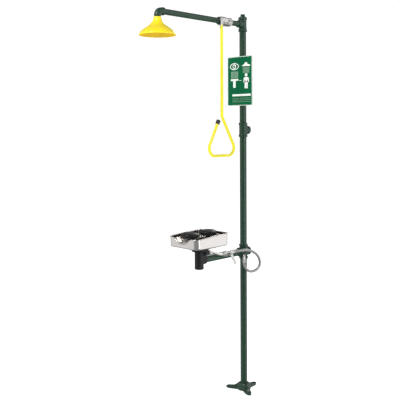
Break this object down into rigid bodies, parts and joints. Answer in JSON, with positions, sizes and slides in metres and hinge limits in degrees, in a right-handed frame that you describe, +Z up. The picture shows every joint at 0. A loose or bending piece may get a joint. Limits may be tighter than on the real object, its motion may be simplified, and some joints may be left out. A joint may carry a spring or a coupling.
{
  "type": "emergency safety shower",
  "caption": "Floor-mounted combination emergency station: an overhead deluge shower with a pull rod and handle, and an eye and face wash bowl on one pipe post.",
  "frame": {"origin": "centre of the floor flange's bolt circle, on the floor", "axes": "+Z up along the post, the shower arm and the eyewash point to -Y, +X is the side of the valve levers"},
  "size_m": [0.234, 0.9165, 2.3185],
  "materials": {
    "green_enamel": "dark green gloss enamel on galvanised pipe",
    "dark_enamel": "very dark green enamel",
    "chrome_plate": "plated brass",
    "stainless_steel": "polished stainless steel",
    "white_seal_plastic": "white seat plastic",
    "yellow_coated_steel": "yellow coating on steel bar",
    "black_rubber": "black rubber",
    "yellow_plastic": "glossy yellow plastic",
    "mustard_plastic": "darker yellow plastic",
    "green_sign": "printed green sign with white pictures",
    "black_plastic": "satin black plastic",
    "white_foam": "white screen",
    "braided_hose": "woven steel braid"
  },
  "bodies": {
    "station": {"floor_flange": "green_enamel", "lower_post": "green_enamel", "waste_cross": "green_enamel", "middle_post": "green_enamel", "supply_tee": "green_enamel", "upper_post": "green_enamel", "top_tee": "green_enamel", "top_plug": "green_enamel", "valve_nipple": "green_enamel", "shower_valve_body": "chrome_plate", "shower_valve_tailpiece": "chrome_plate", "shower_valve_seats": "white_seal_plastic", "shower_packing": "white_seal_plastic", "shower_gland_nut": "stainless_steel", "arm_lock_nut": "dark_enamel", "arm_pipe": "green_enamel", "arm_elbow": "green_enamel", "shower_head_shell": "yellow_plastic", "spray_plate": "mustard_plastic", "spray_plate_screws": "stainless_steel", "flow_washer": "black_rubber", "sign_plate": "green_sign", "sign_brackets": "stainless_steel", "sign_bands": "stainless_steel", "sign_screws": "stainless_steel", "waste_arm": "green_enamel", "receiver_body": "black_plastic", "cleanout_cap": "black_plastic", "bowl_gasket": "black_rubber", "bowl": "stainless_steel", "drain_strainer": "stainless_steel", "spray_manifold": "black_plastic", "spray_head_front": "black_plastic", "spray_head_rear": "black_plastic", "spray_screens": "white_foam", "cover_hinge_pins": "stainless_steel", "supply_tube": "chrome_plate", "tube_nuts": "chrome_plate", "eyewash_valve_body": "chrome_plate", "eyewash_valve_tailpiece": "chrome_plate", "eyewash_seats": "white_seal_plastic", "eyewash_hose": "braided_hose", "hose_ferrules": "chrome_plate", "hose_nut": "chrome_plate", "hose_elbow": "chrome_plate"},
    "shower_lever_body": {"shower_lever": "stainless_steel", "shower_stem": "stainless_steel", "shower_ball": "stainless_steel", "shower_lever_nut": "stainless_steel"},
    "link_body": {"rod_link": "stainless_steel", "link_pin": "stainless_steel"},
    "rod_body": {"pull_rod": "yellow_coated_steel", "rod_end_cap": "black_rubber", "rod_pin": "stainless_steel"},
    "eyewash_lever_body": {"eyewash_lever": "stainless_steel", "eyewash_stem": "stainless_steel", "eyewash_ball": "stainless_steel", "eyewash_lever_nut": "stainless_steel"},
    "front_cover_body": {"dust_cover_front": "black_plastic"},
    "rear_cover_body": {"dust_cover_rear": "black_plastic"}
  },
  "joints": [
    {"name": "shower_lever_turn", "type": "hinge", "parent": "station", "child": "shower_lever_body", "pos_m": [0.0415, -0.165, 2.256], "axis": [1, 0, 0], "range_deg": [0, 90]},
    {"name": "link_turn", "type": "hinge", "parent": "shower_lever_body", "child": "link_body", "pos_m": [0.0453, -0.24, 2.256], "axis": [1, 0, 0], "range_deg": [-90, 0]},
    {"name": "rod_swing", "type": "hinge", "parent": "link_body", "child": "rod_body", "pos_m": [0.0453, -0.24, 2.211], "axis": [1, 0, 0], "range_deg": [-12, 12]},
    {"name": "eyewash_lever_turn", "type": "hinge", "parent": "station", "child": "eyewash_lever_body", "pos_m": [0.0735, -0.195, 0.8725], "axis": [1, 0, 0], "range_deg": [0, 90]},
    {"name": "front_cover_turn", "type": "hinge", "parent": "station", "child": "front_cover_body", "pos_m": [-0.057, -0.463, 1.005], "axis": [0, -1, 0], "range_deg": [0, 105]},
    {"name": "rear_cover_turn", "type": "hinge", "parent": "station", "child": "rear_cover_body", "pos_m": [-0.057, -0.313, 1.005], "axis": [0, -1, 0], "range_deg": [0, 105]}
  ],
  "couplings": [
    {"joint": "link_turn", "follows": "shower_lever_turn", "ratio": -1}
  ]
}
